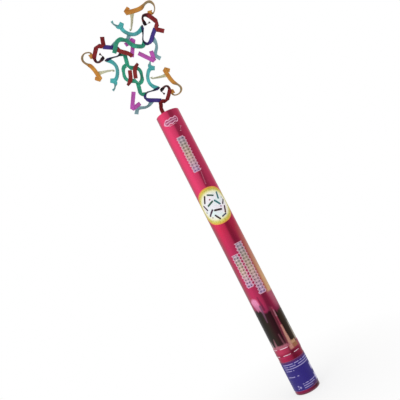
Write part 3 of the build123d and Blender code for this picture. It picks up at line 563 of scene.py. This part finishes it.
def card_finish():
    """Spiral-wound grey-brown card: fibres, and a butt line that climbs round the tube."""
    finish = Finish("card")
    s, h = finish.round_the_tube()
    fibre = finish.noise(finish.scaled(finish.place, 500.0, 500.0, 900.0), 1.0, 5.0, 0.65)
    speck = finish.noise(finish.place, 2600.0, 2.0)
    ground = finish.mix(fibre, (0.26, 0.19, 0.12), (0.48, 0.38, 0.26))
    ground = finish.mix((speck > 0.66) * 0.5, ground, (0.12, 0.09, 0.06))
    ply = 66.0
    butt = inside(abs((h + s * 0.85) % ply - ply / 2) - 0.35, 0.5)
    ground = finish.mix(butt * 0.6, ground, (0.12, 0.085, 0.05))
    return finish.done(
        base_color=ground,
        roughness=fibre * 0.2 + 0.72,
        normal=finish.bump(fibre - butt * 1.5, 0.00015),
    )


def moulded_finish(name, colour, roughness, grain=0.00003, coat=0.0):
    """Injection-moulded plastic: faint flow marks and a fine spark-eroded grain."""
    finish = Finish(name)
    grains = finish.noise(finish.place, 2200.0, 2.0)
    flow = finish.noise(finish.scaled(finish.place, 60.0, 60.0, 25.0), 1.0, 3.0)
    deep = tuple(channel * 0.86 for channel in colour)
    return finish.done(
        base_color=finish.mix(flow, deep, colour),
        roughness=grains * 0.10 + flow * 0.08 + (roughness - 0.09),
        coat_weight=coat,
        coat_roughness=0.08,
        normal=finish.bump(grains, grain),
    )


def metal_finish(name, colour, roughness, stretch, relief):
    """Drawn or rolled metal with fine lines along one way."""
    finish = Finish(name)
    lines = finish.noise(finish.scaled(finish.place, *stretch), 1.0, 4.0, 0.6)
    dull = finish.noise(finish.place, 180.0, 3.0)
    deep = tuple(channel * 0.8 for channel in colour)
    return finish.done(
        base_color=finish.mix(dull, deep, colour),
        metallic=1.0,
        roughness=lines * 0.16 + dull * 0.10 + (roughness - 0.13),
        normal=finish.bump(lines, relief),
    )


def crinkled_foil_finish():
    """Thin silver foil, creased where it burst."""
    finish = Finish("silver_foil")
    cells = {"Vector": finish.place, "Scale": 420.0}
    crease = finish.node("ShaderNodeTexVoronoi", {"feature": "DISTANCE_TO_EDGE"}, cells)
    soft = finish.noise(finish.place, 500.0, 4.0, 0.6)
    return finish.done(
        base_color=finish.mix(soft, (0.62, 0.62, 0.65), (0.86, 0.86, 0.88)),
        metallic=1.0,
        roughness=soft * 0.2 + 0.18,
        normal=finish.bump(crease.math("MINIMUM", 0.2) * 3.0 + soft, 0.0002),
    )


def rubber_finish():
    """Black rubber with a faint grey bloom."""
    finish = Finish("rubber")
    bloom = finish.noise(finish.place, 220.0, 4.0, 0.6)
    return finish.done(
        base_color=finish.mix(bloom, (0.018, 0.018, 0.019), (0.050, 0.049, 0.048)),
        roughness=bloom * 0.2 + 0.55,
        normal=finish.bump(finish.noise(finish.place, 2400.0, 2.0), 0.00003),
    )


def felt_finish():
    """Pressed grey felt."""
    finish = Finish("felt")
    hair = finish.noise(finish.place, 1500.0, 6.0, 0.75)
    tuft = finish.noise(finish.place, 280.0, 4.0)
    return finish.done(
        base_color=finish.mix(hair, (0.16, 0.16, 0.165), (0.50, 0.50, 0.50)),
        roughness=0.95,
        sheen_weight=0.4,
        normal=finish.bump(hair + tuft, 0.0005),
    )


PAPER_COLOURS = {
    # broad face, its brighter drift, and the painted shade where the strip turns edge-on to the burst
    "red": ((0.195, 0.012, 0.015), (0.270, 0.022, 0.026), (0.018, 0.006, 0.010)),
    "blue": ((0.050, 0.030, 0.205), (0.080, 0.046, 0.290), (0.007, 0.011, 0.022)),
    "orange": ((0.50, 0.185, 0.030), (0.61, 0.275, 0.048), (0.360, 0.270, 0.140)),
    "gold": ((0.62, 0.62, 0.43), (0.70, 0.62, 0.34), (0.560, 0.550, 0.380)),
    "cyan": ((0.080, 0.40, 0.390), (0.090, 0.53, 0.540), (0.160, 0.330, 0.340)),
    "teal": ((0.200, 0.37, 0.410), (0.250, 0.43, 0.470), (0.150, 0.270, 0.290)),
    "magenta": ((0.43, 0.095, 0.35), (0.58, 0.100, 0.53), (0.300, 0.120, 0.260)),
    "green": ((0.036, 0.230, 0.150), (0.040, 0.450, 0.270), (0.022, 0.120, 0.075)),
    "maroon": ((0.230, 0.019, 0.019), (0.290, 0.032, 0.030), (0.090, 0.012, 0.012)),
}
# Way that the flat burst faces, and the dark inner ends of the red curls, in metres.
BURST_FACING = (0.0, -0.914, -0.407)
RED_CURL_ENDS = ((0.0114, -0.0085, 0.6483), (-0.0637, -0.0505, 0.7450), (0.0404, -0.0553, 0.7653))
RED_CURL_REACH = 0.0070
RED_CURL_FADE = 0.002


def paper_finish(colour):
    """Dyed foil paper: soft lustre, small creases, uneven dye, and painted shade where it turns edge-on to
    the burst.
    """
    face, bright, turned_shade = PAPER_COLOURS[colour]
    finish = Finish("paper_" + colour)
    dye = finish.noise(finish.place, 70.0, 3.0)
    crease = finish.noise(finish.place, 330.0, 4.0, 0.6)
    fibre = finish.noise(finish.place, 3000.0, 2.0)
    normal = finish.node("ShaderNodeNewGeometry", output="Normal")
    facing = finish.vector("DOT_PRODUCT", normal, BURST_FACING, "Value")
    # Painted shade: faces turned edge-on to the burst, and the inner ends of the red curls, take the shaded
    # colour.
    away = abs(facing).math("MULTIPLY_ADD", -2.4, 2.05, clamp=True)
    if colour == "red":
        for end in RED_CURL_ENDS:
            gap = finish.vector("DISTANCE", finish.place, end, "Value")
            away = away | inside(gap - RED_CURL_REACH, RED_CURL_FADE)
    ground = finish.mix(dye.steepened(3.0), face, bright)
    return finish.done(
        base_color=finish.mix(away, ground, turned_shade),
        metallic=0.15,
        roughness=crease * 0.25 + 0.35,
        specular_ior_level=0.2,
        normal=finish.bump(crease + fibre * 0.25, 0.0003),
    )


def merged_copy(node, name):
    """(mesh, shape): a copy of a CAD node's mesh, and its surface with doubled points welded."""
    mesh = nodes[node].data.copy()
    mesh.name = name
    shape = bmesh.new()
    shape.from_mesh(mesh)
    bmesh.ops.remove_doubles(shape, verts=shape.verts, dist=WELD)
    return mesh, shape


def stand_in(node, mesh, shape, material, body):
    """Smooth piece of that shape, which stands for a CAD node and rides its body."""
    shape.to_mesh(mesh)
    shape.free()
    mesh.shade_smooth()
    mesh.set_sharp_from_angle(angle=SHARP_FOLD)
    mesh.materials.clear()
    mesh.materials.append(material)
    piece = bpy.data.objects.new(mesh.name, mesh)
    scene.collection.objects.link(piece)
    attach(piece, body)
    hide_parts(node)
    return piece


def paper_strip(node, material):
    """Streamer on the CAD strip's route, with the small ripples of thin paper and smooth bends."""
    mesh, shape = merged_copy(node, node + "_paper")
    bmesh.ops.dissolve_limit(shape, angle_limit=FLAT_ANGLE, verts=shape.verts, edges=shape.edges)
    bmesh.ops.triangulate(shape, faces=shape.faces)
    for longest in LONGEST_EDGES:
        long_edges = [edge for edge in shape.edges if edge.calc_length() > longest]
        bmesh.ops.subdivide_edges(shape, edges=long_edges, cuts=1)
        bmesh.ops.triangulate(shape, faces=shape.faces)
    noise.seed_set(RIPPLE_SEED)
    for vert in shape.verts:
        vert.co += noise.noise_vector(vert.co * RIPPLES_PER_METRE) * RIPPLE
    stand_in(node, mesh, shape, material, "streamers")


def coil_spring(material):
    """Striker spring on its own mesh, riding the twist base; the real one shortens by the stroke when the
    striker is drawn down on it.
    """
    mesh, shape = merged_copy("striker_spring", "striker_spring_coil")
    spring = stand_in("striker_spring", mesh, shape, material, "twist_base")
    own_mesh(spring)


def dress_nodes():
    """Gives every CAD node its finish, and makes the spring and the streamers anew."""
    card = card_finish()
    white = moulded_finish("white_plastic", (0.80, 0.80, 0.78), 0.42)
    rubber = rubber_finish()
    aluminium = metal_finish("aluminium", (0.80, 0.80, 0.82), 0.32, (90.0, 90.0, 1600.0), 0.00002)
    steel = metal_finish("steel", (0.60, 0.60, 0.62), 0.30, (1800.0, 1800.0, 200.0), 0.00002)
    finishes = {
        "barrel_foil": barrel_finish(),
        "base_foil": base_foil_finish(),
        "seam_collar": collar_finish(),
        "base_label": label_finish(),
        "end_plug": moulded_finish("magenta_plastic", (0.16, 0.008, 0.040), 0.30, 0.00002, 0.2),
        "striker_carrier": moulded_finish("black_plastic", (0.030, 0.030, 0.033), 0.45),
        "air_bottle": moulded_finish("bottle_plastic", (0.74, 0.77, 0.80), 0.22, 0.00001, 0.4),
        "muzzle_seal": crinkled_foil_finish(),
        "pusher_felt": felt_finish(),
    }
    shared = (
        (card, ("barrel_tube", "base_sleeve", "muzzle_ring", "stop_ring", "pusher_cup")),
        (white, ("coupler", "trigger_core", "retaining_ring", "cylinder_spider")),
        (rubber, ("seam_o_ring", "neck_gasket", "fill_valve")),
        (aluminium, ("neck_cap", "neck_seal")),
        (steel, ("striker_pin",)),
    )
    for material, names in shared:
        finishes.update(dict.fromkeys(names, material))
    for node, material in finishes.items():
        nodes[node].data.materials.clear()
        nodes[node].data.materials.append(material)
    coil_spring(steel)
    for colour in STREAMER_COLOURS:
        paper = paper_finish(colour)
        for spray in SPRAYS:
            paper_strip(f"streamer_{spray}_{colour}", paper)


def shown_to(finish, *rays):
    """1 for the named kinds of ray."""
    path = finish.node("ShaderNodeLightPath", output="Is Camera Ray")
    seen = path
    for ray in rays:
        seen = seen | path.out(ray)
    return seen


FLOOR_RADIUS = 6.0
SURROUND_LIGHT = 0.64
LAMP_AIM = (0.0, 0.0, 0.40)
LAMPS = (
    # name, place, size, watts
    ("key", (-1.15, -1.05, 0.75), 1.1, 7.0),
    ("fill", (1.4, -1.0, 0.7), 1.1, 5.0),
    ("top", (0.1, 0.3, 1.9), 1.2, 5.0),
)
# Distance from the axis and height of the screen's inner edge, bend and top.
COVE_PROFILE = ((0.06, 0.002), (1.6, 0.002), (1.6, 2.2))
COVE_STEPS = 72
# Bearing in degrees from the front, positive to the right, and grey of the screen there.
COVE_GREYS = (
    (-172.0, 0.35), (-134.0, 0.62), (-110.0, 0.80), (-97.0, 0.92), (-75.0, 1.0), (-60.0, 1.0),
    (-41.0, 0.86), (-17.0, 0.74), (0.0, 0.60), (3.0, 0.56), (9.0, 0.32), (16.0, 0.26), (30.0, 0.24),
    (45.0, 0.29), (67.0, 0.42), (97.0, 0.46), (134.0, 0.60), (172.0, 0.50),
)
CAMERA_PLACE = (-0.0203, -0.8937, 0.3179)
CAMERA_PITCH = math.radians(6.1)
CAMERA_ROLL = math.radians(-26.99)
SENSOR_MM = 36.0
LENS_MM = 40.5
NEAR_CLIP = 0.01


def floor():
    """Plain pale floor that keeps the shadow and fades to white away from the tube."""
    mesh = bpy.data.meshes.new("floor")
    shape = bmesh.new()
    bmesh.ops.create_circle(shape, cap_ends=True, segments=96, radius=FLOOR_RADIUS)
    shape.to_mesh(mesh)
    shape.free()
    piece = bpy.data.objects.new("floor", mesh)
    scene.collection.objects.link(piece)
    finish = Finish("floor")
    x = finish.node("ShaderNodeSeparateXYZ", {}, {0: finish.place})
    y = x.out("Y")
    away = (x * x + y * y).math("SQRT").math("MULTIPLY_ADD", 0.9, 0.70, clamp=True)
    lit = finish.node("ShaderNodeBsdfDiffuse", {}, {"Color": (0.90, 0.90, 0.90)})
    white = finish.node("ShaderNodeEmission", {}, {"Color": (1.0, 1.0, 1.0), "Strength": 1.0})
    share = shown_to(finish, "Is Glossy Ray", "Is Transmission Ray") * away
    surface = finish.node("ShaderNodeMixShader", {}, {0: share, 1: lit, 2: white})
    finish.node("ShaderNodeOutputMaterial", {}, {"Surface": surface})
    mesh.materials.append(finish.material)


def surround():
    """White world, dimmer as a light than it looks."""
    world = bpy.data.worlds.new("surround")
    scene.world = world
    finish = Finish("surround", world)
    seen = shown_to(finish, "Is Glossy Ray", "Is Transmission Ray")
    strength = seen * (1.0 - SURROUND_LIGHT) + SURROUND_LIGHT
    ground = finish.node("ShaderNodeBackground", {}, {"Color": (1.0, 1.0, 1.0), "Strength": strength})
    finish.node("ShaderNodeOutputWorld", {}, {"Surface": ground})


def softbox(name, place, size, watts):
    """Square lamp that lights the object but leaves the reflections to the screen."""
    lamp = bpy.data.lights.new(name, "AREA")
    lamp.shape = "SQUARE"
    lamp.size = size
    lamp.energy = watts
    box = bpy.data.objects.new(name, lamp)
    scene.collection.objects.link(box)
    box.location = place
    box.rotation_mode = "QUATERNION"
    box.rotation_quaternion = (Vector(LAMP_AIM) - Vector(place)).to_track_quat("-Z", "Y")
    box.visible_glossy = False


def cove(name, greys):
    """Curved screen with a foot along the floor, graded by bearing, which only reflections see."""
    mesh = bpy.data.meshes.new(name)
    shape = bmesh.new()
    start, end = math.radians(greys[0][0]), math.radians(greys[-1][0])
    profile = [
        shape.verts.new((reach * math.sin(start), -reach * math.cos(start), height))
        for reach, height in COVE_PROFILE
    ]
    edges = [shape.edges.new(profile[:2]), shape.edges.new(profile[1:])]
    bmesh.ops.spin(
        shape, geom=[*profile, *edges], cent=(0, 0, 0), axis=(0, 0, 1), dvec=(0, 0, 0),
        angle=end - start, steps=COVE_STEPS, use_duplicate=False)
    shape.to_mesh(mesh)
    shape.free()
    finish = Finish(name)
    x = finish.node("ShaderNodeSeparateXYZ", {}, {0: finish.place})
    share = x.math("ARCTAN2", -x.out("Y")) / (2 * math.pi) + 0.5
    stops = ((bearing / 360.0 + 0.5, (grey, grey, grey)) for bearing, grey in greys)
    colour = finish.ramp(share, *stops)
    glow = finish.node("ShaderNodeEmission", {}, {"Color": colour, "Strength": 1.0})
    finish.node("ShaderNodeOutputMaterial", {}, {"Surface": glow})
    mesh.materials.append(finish.material)
    piece = bpy.data.objects.new(name, mesh)
    scene.collection.objects.link(piece)
    piece.visible_camera = False
    piece.visible_diffuse = False
    piece.visible_transmission = False
    piece.visible_shadow = False


def studio():
    """Floor, surround, soft lamps, and the screen that shapes the foil's reflections."""
    floor()
    surround()
    for name, place, size, watts in LAMPS:
        softbox(name, place, size, watts)
    cove("cove", COVE_GREYS)


def photographer():
    """Camera at the photograph's viewing angle, rolled so that the tube leans as it does there."""
    forward = Vector((0.0, math.cos(CAMERA_PITCH), math.sin(CAMERA_PITCH)))
    level = Vector((1.0, 0.0, 0.0))
    upright = Vector((0.0, -math.sin(CAMERA_PITCH), math.cos(CAMERA_PITCH)))
    right = level * math.cos(CAMERA_ROLL) + upright * math.sin(CAMERA_ROLL)
    up = upright * math.cos(CAMERA_ROLL) - level * math.sin(CAMERA_ROLL)
    data = bpy.data.cameras.new("camera")
    data.sensor_width = SENSOR_MM
    data.lens = LENS_MM
    data.clip_start = NEAR_CLIP
    camera = bpy.data.objects.new("camera", data)
    scene.collection.objects.link(camera)
    turn = Matrix((right, up, -forward)).transposed().to_4x4()
    camera.matrix_world = Matrix.Translation(CAMERA_PLACE) @ turn
    scene.camera = camera


scene.view_settings.view_transform = "Standard"
dress_nodes()
studio()
photographer()
